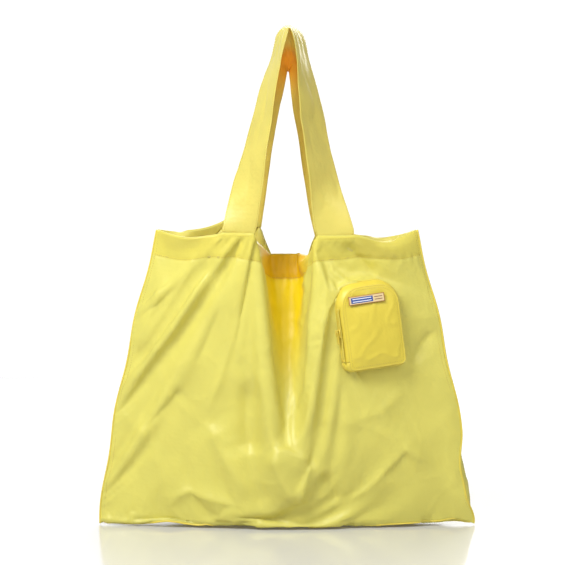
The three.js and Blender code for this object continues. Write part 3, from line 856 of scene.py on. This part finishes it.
def strap(side, edges, web):
    """A strap of folded nylon with a row of stitches along each edge. `side` is -1 for the front one and
    1 for the back one."""
    name = "front" if side < 0 else "back"
    keys = strap_rows(side, edges, web)
    along = cubic(keys, np.linspace(0, len(keys) - 1, 150))
    rows = cubic(along.transpose(1, 0, 2), np.linspace(0, STRAP_POINTS - 1, 19)).transpose(1, 0, 2)
    normal = np.cross(np.gradient(rows, axis=0), np.gradient(rows, axis=1))
    normal /= np.linalg.norm(normal, axis=2, keepdims=True)
    u = np.linspace(-STRAP_WIDTH / 2, STRAP_WIDTH / 2, rows.shape[1])
    lengths = np.linalg.norm(np.diff(rows[:, STRAP_MIDDLE], axis=0), axis=1)
    v = np.concatenate([[0], np.cumsum(lengths)])
    height = np.clip((rows[:, STRAP_MIDDLE, 2] - RIM_Z) / (APEX_Z - RIM_Z), 0, 1)
    free = smooth(0.02, 0.2, height)[:, None]
    ripples = np.sin(u / STRAP_WIDTH * 2 * math.pi * 3)[None, :]
    gather = 0.8 * MM * ripples * smooth(0.75, 1.0, height)[:, None]
    slack = 2.2 * MM * noise_grid(u, v, 38 * MM, 3 + side) + 0.9 * MM * creases(u, v, 42 * MM, 9 + side)
    rows = rows + normal * (free * (gather + slack))[..., None]
    # Painted shade: near the top of the back strap, towards its inner edge, the material gets its darker
    # orange fold colour.
    web_shade = smooth(0.6, 0.9, height)[:, None] * smooth(0.3, 0.6, np.linspace(0, 1, len(u)))[None, :]
    cloth = sheet_piece(f"{name}_strap_cloth", rows, u, v, 1.0 * MM, depth=web_shade * (side > 0))
    apply_modifier(cloth, "SUBSURF", levels=1, render_levels=1)
    finish_piece(cloth, NYLON_DOUBLE, None,
                 [f"{name}_strap", f"{name}_left_strap_end", f"{name}_right_strap_end"])
    pieces = [cloth]
    for label, column in (("outer", 1), ("inner", -2)):
        for face, out in (("upper", 0.62 * MM), ("under", -0.62 * MM)):
            line = rows[:, column] + normal[:, column] * out
            row = stitches(f"{name}_strap_{label}_{face}_stitches", line, normal[:, column] * np.sign(out))
            finish_piece(row, THREAD, None)
            pieces.append(row)
    for piece in pieces:
        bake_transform(piece)


# ---------------------------------------------------------------- pouch

def pouch_half_width(y):
    """Half of the pouch's width at a height above its middle."""
    half, end = POUCH_WIDTH / 2, POUCH_HEIGHT / 2
    into_top = np.clip(y - (end - POUCH_TOP), 0, POUCH_TOP)
    into_foot = np.clip(-y - (end - POUCH_FOOT), 0, POUCH_FOOT)
    return (half - POUCH_TOP + np.sqrt(POUCH_TOP ** 2 - into_top ** 2)
            - POUCH_FOOT + np.sqrt(POUCH_FOOT ** 2 - into_foot ** 2))


def pouch_bulge(x, y):
    """Height of the pouch's front above its back."""
    reach = np.clip(np.abs(x) / pouch_half_width(y), 0, 1)
    rise = np.clip(np.abs(y) / (POUCH_HEIGHT / 2), 0, 1)
    crown = (1 - reach ** 2.6) * (1 - rise ** 3)
    sag = 1 + 0.25 * np.clip(-y / (POUCH_HEIGHT / 2), -1, 1)
    return POUCH_EDGE + POUCH_CROWN * crown * sag


def pouch_outline(inset, count):
    """Points round the pouch's outline, from the zip's lower end round the foot and the top, closed."""
    half, top = POUCH_WIDTH / 2 - inset, POUCH_HEIGHT / 2 - inset
    corners = [(-half, -top, POUCH_FOOT, 180), (half, -top, POUCH_FOOT, 270), (half, top, POUCH_TOP, 0),
               (-half, top, POUCH_TOP, 90)]
    line = [(-half, ZIP_LOW)]
    for x, y, radius, start in corners:
        radius -= inset
        cx, cy = x - math.copysign(radius, x), y - math.copysign(radius, y)
        for k in range(9):
            angle = math.radians(start + 90 * k / 8)
            line.append((cx + radius * math.cos(angle), cy + radius * math.sin(angle)))
    line.append((-half, ZIP_LOW))
    line = np.array(line)
    travelled = np.concatenate([[0], np.cumsum(np.linalg.norm(np.diff(line, axis=0), axis=1))])
    stations = np.linspace(0, travelled[-1], count)
    return np.stack([np.interp(stations, travelled, line[:, k]) for k in (0, 1)], axis=1), stations


FRONT_INSET = Vector((5, 6)) * MM    # the front is cut smaller than the back, on its left and at its top


def onto_front(x, y):
    """Moves a place on the pouch's outline to the smaller front's outline."""
    return (x * (1 - FRONT_INSET.x / POUCH_WIDTH) + FRONT_INSET.x / 2,
            y * (1 - FRONT_INSET.y / POUCH_HEIGHT) - FRONT_INSET.y / 2)


def pouch_front():
    """The pouch's front, crowned over its contents."""
    v = (POUCH_HEIGHT / 2 - 0.4 * MM) * np.sin(np.linspace(-math.pi / 2, math.pi / 2, 57))
    share = np.sin(np.linspace(-math.pi / 2, math.pi / 2, 41))
    x = share[None, :] * (pouch_half_width(v) - 0.2 * MM)[:, None]
    y = np.broadcast_to(v[:, None], x.shape)
    z = pouch_bulge(x, y)
    dimple = creases(share * POUCH_WIDTH / 2, v, 30 * MM, 21) * 1.1 * MM
    swell = noise_grid(share * POUCH_WIDTH / 2, v, 34 * MM, 12) * 1.6 * MM
    inside = smooth(0, 0.3, 1 - np.abs(share))[None, :]
    inside = inside * smooth(0, 0.25, 1 - np.abs(v) * 2 / POUCH_HEIGHT)[:, None]
    rows = to_world(np.stack([*onto_front(x, y), z + inside * (dimple + swell)], axis=2))
    piece = sheet_piece("pouch_front_cloth", rows, share * POUCH_WIDTH / 2, v, CLOTH)
    finish_piece(piece, NYLON_POUCH, "bag", ["pouch_front"])


def wall_point(outline, share, swell):
    """A point of the pouch's wall, from the bag at 0 to the front's seam at 1."""
    bend = np.gradient(outline, axis=0)
    outwards = np.stack([bend[:, 1], -bend[:, 0]], axis=1)
    outwards /= np.maximum(np.linalg.norm(outwards, axis=1, keepdims=True), 1e-12)
    front = np.stack(onto_front(outline[:, 0], outline[:, 1]), axis=1)
    ring = outline + (front - outline) * share + outwards * np.reshape(swell, (-1, 1))
    return to_world(np.column_stack([ring, np.full(len(ring), share * POUCH_EDGE)]))


def pouch_wall():
    """The strip between the pouch's front and the bag, closed all round."""
    outline, stations = pouch_outline(0, 160)
    shares = np.linspace(-0.12, 1, 12)
    rows = []
    for share in shares:
        belly = math.sin(math.pi * np.clip(share, 0, 1))
        puckers = 0.35 * MM * np.sin(stations / (4.7 * MM)) * (1 - belly)
        soft = 0.9 * MM * noise_grid(stations, [share * POUCH_DEPTH], 17 * MM, 4)[0] * belly
        rows.append(wall_point(outline, share, 2.4 * MM * belly + puckers + soft))
    piece = sheet_piece("pouch_wall_cloth", np.array(rows), stations, shares * POUCH_DEPTH, CLOTH)
    finish_piece(piece, NYLON_POUCH, "bag", ["pouch_wall"])


def pouch_back():
    """The pouch's back, which lies on the bag."""
    v = np.linspace(-POUCH_HEIGHT / 2 + 1 * MM, POUCH_HEIGHT / 2 - 1 * MM, 41)
    share = np.linspace(-1, 1, 25)
    x = share[None, :] * (pouch_half_width(v) - 1 * MM)[:, None]
    y = np.broadcast_to(v[:, None], x.shape)
    rows = to_world(np.stack([x, y, np.full(x.shape, 0.4 * MM)], axis=2))
    piece = sheet_piece("pouch_back_cloth", rows, share * POUCH_WIDTH / 2, v, CLOTH)
    finish_piece(piece, NYLON, "bag", ["pouch_back"])


def pouch_seams():
    """The seams between the pouch's front, its wall and the bag, and the stitches beside them."""
    outline, _ = pouch_outline(0, 170)
    piping = tube("pouch_front_ridge", wall_point(outline, 1.0, 0.1 * MM), 0.55 * MM)
    finish_piece(piping, BINDING, "bag", ["pouch_front_seam"])
    rim = tube("pouch_rear_ridge", wall_point(outline, 0.02, 0.9 * MM), 0.6 * MM)
    finish_piece(rim, BINDING, "bag")
    ring, _ = pouch_outline(3 * MM, 170)
    height = pouch_bulge(ring[:, 0], ring[:, 1]) + 0.45 * MM
    out = np.tile(np.array(POUCH.col[2].to_3d()), (len(ring), 1))
    path = to_world(np.column_stack([*onto_front(ring[:, 0], ring[:, 1]), height]))
    row = stitches("pouch_stitches", path, out, pitch=3 * MM, length=2.2 * MM)
    finish_piece(row, THREAD, "bag")


ZIP_MIDDLE = POUCH_DEPTH / 2         # the zip's height above the bag's cloth
TAPE_WIDTH = 4 * MM                  # from the zip's middle to a tape's outer edge
COIL_PITCH = 1.1 * MM
COIL_TURN = (0.6 * MM, 0.55 * MM, 1.9 * MM)            # a turn's size outwards, along and across the zip


def zip_place(y, z, out=0.0):
    """A point on the zip: y along it, z across it, out from its face, in the pouch's axes."""
    return (-POUCH_WIDTH / 2 - out, y, z)


def zip_tapes():
    """The two knitted tapes, slightly wavy from their stitches."""
    y = np.linspace(ZIP_LOW, ZIP_HIGH, 60)
    for side, name in ((1, "front"), (-1, "back")):
        z = ZIP_MIDDLE + side * np.linspace(0.4 * MM, TAPE_WIDTH, 7)
        rise = 0.15 * MM * np.sin(y / (2.1 * MM))
        rows = [[zip_place(a, b, 0.5 * MM + c) for a, c in zip(y, rise)] for b in z]
        piece = sheet_piece(f"zip_tape_{name}_cloth", to_world(rows), y, z, 0.5 * MM, flip=side > 0)
        finish_piece(piece, TAPE, "bag", [f"zip_tape_{name}"])


def zip_coils():
    """The two halves of the closed coil, whose turns lie between each other's."""
    points, faces = bead(6, 4)
    for side, name in ((1, "front"), (-1, "back")):
        turns = []
        for y in np.arange(ZIP_LOW + 1 * MM, ZIP_HIGH - 1 * MM, COIL_PITCH):
            middle = zip_place(y + side * COIL_PITCH / 4, ZIP_MIDDLE + side * 0.55 * MM, 0.95 * MM)
            turns.append(to_world(points * np.array(COIL_TURN) + np.array(middle)))
        piece = repeated(f"zip_coil_{name}_turns", turns, faces)
        finish_piece(piece, COIL, "bag", [f"zip_coil_{name}"])


def label_weave():
    """A label woven in four colours: a tan ground with a brown border, a blue field with pale stripes and
    two brown lines beside it. It is satin, so it shines a little."""
    material = new_material("woven_satin_label")
    tree = material.node_tree
    cut = add_node(tree, "ShaderNodeUVMap", uv_map="cut")
    place = add_node(tree, "ShaderNodeSeparateXYZ", {"Vector": cut.outputs["UV"]})

    def patch(left, right, low, high):
        """1 inside a rectangle on the label and 0 outside it."""
        limits = (("X", "GREATER_THAN", left), ("X", "LESS_THAN", right),
                  ("Y", "GREATER_THAN", low), ("Y", "LESS_THAN", high))
        masks = []
        for axis, test, limit in limits:
            masks.append(add_node(tree, "ShaderNodeMath", {0: place.outputs[axis], 1: limit}, operation=test))
        inside = masks[0]
        for mask in masks[1:]:
            both = {0: inside.outputs[0], 1: mask.outputs[0]}
            inside = add_node(tree, "ShaderNodeMath", both, operation="MULTIPLY")
        return inside.outputs[0]

    half_x, half_y = LABEL_SIZE / 2
    patches = [
        ("#d8c08e", -half_x + 1 * MM, half_x - 1 * MM, -half_y + 1 * MM, half_y - 1 * MM),
        ("#2c4a90", -half_x + 3 * MM, 8 * MM, -half_y + 2 * MM, half_y - 2 * MM),
    ]
    for middle in (-1.6 * MM, 1.6 * MM):
        low, high = middle - 0.5 * MM, middle + 0.5 * MM
        patches.append(("#dfe2e6", -half_x + 5 * MM, 6 * MM, low, high))
        patches.append(("#7a4a3a", 10 * MM, half_x - 3 * MM, low, high))
    colour = linear("#a8743c")
    for thread, *sides in patches:
        crossing = {"Factor": patch(*sides), 6: colour, 7: linear(thread)}
        colour = add_node(tree, "ShaderNodeMix", crossing, data_type="RGBA").outputs[2]
    weave = weave_height(tree, 0.5 * MM)
    bump = add_node(tree, "ShaderNodeBump", {"Height": weave.outputs[0]}, Strength=0.6, Distance=0.15 * MM)
    shown = {"Base Color": colour, "Normal": bump.outputs["Normal"]}
    body = add_node(tree, "ShaderNodeBsdfPrincipled", shown, Roughness=0.5)
    add_node(tree, "ShaderNodeOutputMaterial", {"Surface": body.outputs[0]})
    return material


def woven_label():
    """The label sewn on the pouch, its ends curling up a little."""
    middle = POUCH.inverted() @ ((LABEL_LOW + LABEL_HIGH) / 2)
    x = np.linspace(-0.5, 0.5, 33) * LABEL_SIZE.x
    y = np.linspace(-0.5, 0.5, 13) * LABEL_SIZE.y
    grid_x, grid_y = np.meshgrid(x, y)
    curl = 0.3 * MM * (np.abs(grid_x) / LABEL_SIZE.x * 2) ** 6
    height = pouch_bulge(grid_x + middle.x, grid_y + middle.y) + 1.7 * MM + curl
    rows = to_world(np.stack([grid_x + middle.x, grid_y + middle.y, height], axis=2))
    piece = sheet_piece("label_cloth", rows, x, y, 0.6 * MM)
    finish_piece(piece, label_weave(), "bag", ["woven_label"])


SLIDER_PLACE = -6 * MM               # where the slider's body rests along the zip
BRIDGE_PLACE = -4.7 * MM             # where its bridge is, with the pull's upper bar in it
ZIP_FACE = 0.35 * MM                 # height above the pouch's side at which a stop's underside lies
PULL_AXIS = 4.7 * MM                 # height of the middle of the pull's upper bar
BRIDGE_TOP = 6.95 * MM
BRIDGE_THICK = 1.1 * MM
PULL_LENGTH = 15.55 * MM
PULL_HALF = 2.5 * MM
PULL_THICK = 1.2 * MM
PULL_BAR = 0.55 * MM                 # the pull's upper end lies this far above its axis


def zip_axes(y):
    """Axes for a piece on the zip: x across it, y along it and z out of it."""
    across, along, out = (0, 0, 1), (0, 1, 0), (-1, 0, 0)
    turn = Matrix((across, along, out)).transposed().to_4x4()
    return POUCH @ Matrix.Translation((-POUCH_WIDTH / 2, y, ZIP_MIDDLE)) @ turn


def block(name, size, middle):
    """A cube of a size at a place, left open for editing."""
    bpy.ops.object.select_all(action="DESELECT")
    bpy.ops.mesh.primitive_cube_add(size=1, location=middle)
    piece = bpy.context.object
    piece.name = name
    bpy.ops.transform.resize(value=size)
    bpy.ops.object.transform_apply(location=True, rotation=True, scale=True)
    bpy.ops.object.mode_set(mode="EDIT")
    return piece


def choose(piece, kind, test):
    """Selects only the vertices, edges or faces whose middle passes the test."""
    mesh = bmesh.from_edit_mesh(piece.data)
    bpy.ops.mesh.select_all(action="DESELECT")
    bpy.ops.mesh.select_mode(type=kind)
    parts = {"VERT": mesh.verts, "EDGE": mesh.edges, "FACE": mesh.faces}[kind]
    for part in parts:
        if kind == "VERT":
            middle = part.co
        elif kind == "EDGE":
            middle = (part.verts[0].co + part.verts[1].co) / 2
        else:
            middle = part.calc_center_median()
        part.select_set(test(middle))
    mesh.select_flush_mode()
    bmesh.update_edit_mesh(piece.data)


def place_on_zip(piece, y, bevel):
    """Closes editing, softens the edges and puts the piece at its place on the zip."""
    bpy.ops.object.mode_set(mode="OBJECT")
    apply_modifier(piece, "BEVEL", width=bevel, segments=3, limit_method="ANGLE")
    piece.data.transform(zip_axes(y))
    piece.data.shade_smooth()
    bpy.ops.object.select_all(action="DESELECT")


def zip_slider():
    """The slider's body, narrower at its lower end, with the bridge that holds the pull."""
    body = block("zip_slider_body", (7 * MM, 11 * MM, 1.15 * MM), (0, 0, ZIP_FACE + 1.6 * MM))
    bpy.ops.mesh.subdivide(number_cuts=3)
    choose(body, "VERT", lambda c: c.y < -2 * MM)
    bpy.ops.transform.resize(value=(0.78, 1, 1))
    choose(body, "VERT", lambda c: c.y > 5 * MM)
    bpy.ops.transform.resize(value=(0.62, 1, 1))
    choose(body, "FACE", lambda c: c.z > ZIP_FACE + 2.1 * MM and abs(c.x) < 2 * MM and abs(c.y) < 4 * MM)
    bpy.ops.mesh.inset(thickness=0.3 * MM, depth=-0.25 * MM)
    place_on_zip(body, SLIDER_PLACE, 0.35 * MM)
    finish_piece(body, LACQUER, "slider", ["zip_slider"])
    bridge = block("zip_slider_bridge", (1.8 * MM, 6.4 * MM, BRIDGE_THICK),
                   (0, 0, BRIDGE_TOP - BRIDGE_THICK / 2))
    bpy.ops.mesh.subdivide(number_cuts=4)
    choose(bridge, "FACE", lambda c: c.z < BRIDGE_TOP - BRIDGE_THICK + 0.05 * MM and abs(c.y) > 2.1 * MM)
    bpy.ops.mesh.extrude_region_move(TRANSFORM_OT_translate={"value": (0, 0, -3.7 * MM)})
    place_on_zip(bridge, BRIDGE_PLACE, 0.25 * MM)
    finish_piece(bridge, LACQUER, "slider")


def zip_pull():
    """A flat pull with a square eye round the bridge and a rounded lower end."""
    bpy.ops.object.select_all(action="DESELECT")
    bpy.ops.mesh.primitive_grid_add(x_subdivisions=9, y_subdivisions=28, size=1, location=(0, 0, 0))
    pull = bpy.context.object
    pull.name = "zip_pull_tab"
    bpy.ops.transform.resize(value=(2 * PULL_HALF, PULL_LENGTH, 1))
    bpy.ops.transform.translate(value=(0, PULL_BAR - PULL_LENGTH / 2, PULL_AXIS))
    bpy.ops.object.transform_apply(location=True, rotation=True, scale=True)
    bpy.ops.object.mode_set(mode="EDIT")
    choose(pull, "FACE", lambda c: abs(c.x) < 1.4 * MM and -4.2 * MM < c.y < -0.5 * MM)
    bpy.ops.mesh.delete(type="FACE")
    for line in range(1, 6):         # the lower end's rows, each drawn in to the round outline
        low = -15 * MM + 0.55 * MM * line
        width = math.sqrt(max(1 - (1 - line / 6) ** 2, 0.1))
        choose(pull, "VERT", lambda c: low - 0.56 * MM < c.y <= low)
        bpy.ops.transform.resize(value=(width, 1, 1))
    bpy.ops.object.mode_set(mode="OBJECT")
    apply_modifier(pull, "SOLIDIFY", thickness=PULL_THICK, offset=0, use_rim=True)
    bpy.ops.object.mode_set(mode="EDIT")
    place_on_zip(pull, BRIDGE_PLACE, 0.2 * MM)
    finish_piece(pull, LACQUER, "pull", ["zip_pull"])


def zip_stops():
    """The clips that stop the slider at the zip's ends."""
    for name, y in (("lower", ZIP_LOW + 3 * MM), ("upper", ZIP_HIGH - 3 * MM)):
        stop = block(f"zip_{name}_stop_clip", (2.8 * MM, 3 * MM, 1.2 * MM), (0, 0, ZIP_FACE + 0.6 * MM))
        bpy.ops.mesh.subdivide(number_cuts=2)
        choose(stop, "FACE", lambda c: c.z > ZIP_FACE + 1.1 * MM and abs(c.x) < 0.4 * MM)
        bpy.ops.mesh.inset(thickness=0.1 * MM, depth=-0.2 * MM)
        place_on_zip(stop, y, 0.2 * MM)
        finish_piece(stop, LACQUER, "bag", [f"zip_{name}_stop"])


def strap_foot_stitches(side, sign):
    """The row that holds a strap's end, close under the mouth's edge, on both faces of the hem."""
    name = "left" if sign < 0 else "right"
    u = sign * np.linspace(STRAP_INNER, STRAP_OUTER, 30)
    for face, out in (("outer", 0.4 * MM), ("inner", -2.0 * MM)):
        path, normals = READ[side](u, [PANEL_HEIGHT - 4 * MM], out)
        outwards = normals[0] * math.copysign(1, out)
        row = stitches(f"{side}_{name}_strap_foot_{face}_stitches", path[0], outwards)
        finish_piece(row, THREAD, "bag")


def side_stitches(side):
    """Stitches beside the side seams."""
    v = np.linspace(4 * MM, PANEL_HEIGHT - 2 * MM, 150)
    for name, u in (("left", -PANEL_HALF + 5 * MM), ("right", PANEL_HALF - 5 * MM)):
        path, normals = READ[side]([u], v, 0.3 * MM)
        row = stitches(f"{side}_{name}_side_stitches", path[:, 0], normals[:, 0])
        finish_piece(row, THREAD, "bag")


panel_cloth("front", flip=False, seed=1)
panel_cloth("back", flip=True, seed=2)
base_cloth()
mouth_hem("front", flip=False)
mouth_hem("back", flip=True)
seams()
strap(-1, FRONT_EDGES, web=0)
strap(1, BACK_EDGES, web=54 * MM)
pouch_front()
pouch_wall()
pouch_back()
pouch_seams()
woven_label()
zip_tapes()
zip_coils()
zip_slider()
zip_pull()
zip_stops()
for panel in ("front", "back"):
    side_stitches(panel)
    for leg in (-1, 1):
        strap_foot_stitches(panel, leg)

# ---------------------------------------------------------------- camera, light and floor

def aimed(obj, place, target):
    """Puts a camera or a light at a place, looking at the target."""
    obj.location = place
    obj.rotation_mode = "QUATERNION"
    obj.rotation_quaternion = (Vector(target) - Vector(place)).to_track_quat("-Z", "Y")
    SCENE.collection.objects.link(obj)
    return obj


def camera():
    """A long lens from straight in front and slightly above."""
    aim = Vector((-5.7 * MM, 0, 310 * MM))
    data = bpy.data.cameras.new("camera")
    data.lens = 120
    width_seen = 0.7176              # metres, at the bag
    distance = width_seen * data.lens / data.sensor_width
    tilt = math.radians(3)
    place = aim + Vector((0, -math.cos(tilt), math.sin(tilt))) * distance
    SCENE.camera = aimed(bpy.data.objects.new("camera", data), place, aim)


def soft_box(name, place, size, power):
    """A square light aimed at the bag's middle, in watts and metres."""
    data = bpy.data.lights.new(name, "AREA")
    data.size = size
    data.energy = power
    aimed(bpy.data.objects.new(name, data), place, (0, 0, 0.4))


def glowing_white(name, brightness, roughness, glow):
    """White paint that is lit from behind, so that it stays white around the object."""
    material = new_material(name)
    colour = (brightness, brightness, brightness, 1)
    shader = add_node(material.node_tree, "ShaderNodeBsdfPrincipled", Base_Color=colour, Roughness=roughness,
                      Emission_Color=(1, 1, 1, 1), Emission_Strength=glow)
    add_node(material.node_tree, "ShaderNodeOutputMaterial", {"Surface": shader.outputs[0]})
    return material


def plane(name, corners, material):
    """A flat part of the studio, which isn't part of the bag."""
    piece = mesh_piece(name, corners, [(0, 1, 2, 3)])
    piece.data.materials.append(material)
    return piece


def studio():
    """A white studio: a floor that shines a little, a glowing backdrop, an even sky and soft lights."""
    soft_box("key", (-0.75, -1.1, 1.5), size=0.7, power=35)
    soft_box("fill", (1.0, -1.3, 1.5), size=1.0, power=12)
    soft_box("rear", (0.2, 1.6, 1.1), size=1.4, power=43)
    world = bpy.data.worlds.new("studio")
    SCENE.world = world
    world.use_nodes = True
    sky = world.node_tree.nodes["Background"]
    sky.inputs["Color"].default_value = (1, 1, 1, 1)
    sky.inputs["Strength"].default_value = 0.38
    reach, behind, side, top = 6, 1.85, 1.6, 1.5         # metres
    floor = plane("floor", [(-reach, -reach, 0), (reach, -reach, 0), (reach, reach, 0), (-reach, reach, 0)],
                  glowing_white("white_floor", 0.6, 0.14, 0.05))
    wall = plane("backdrop",
                 [(-side, behind, 0), (side, behind, 0), (side, behind, top), (-side, behind, top)],
                 glowing_white("white_backdrop", 0.0, 0.9, 1.05))
    SCENE.view_settings.view_transform = "Standard"


camera()
studio()
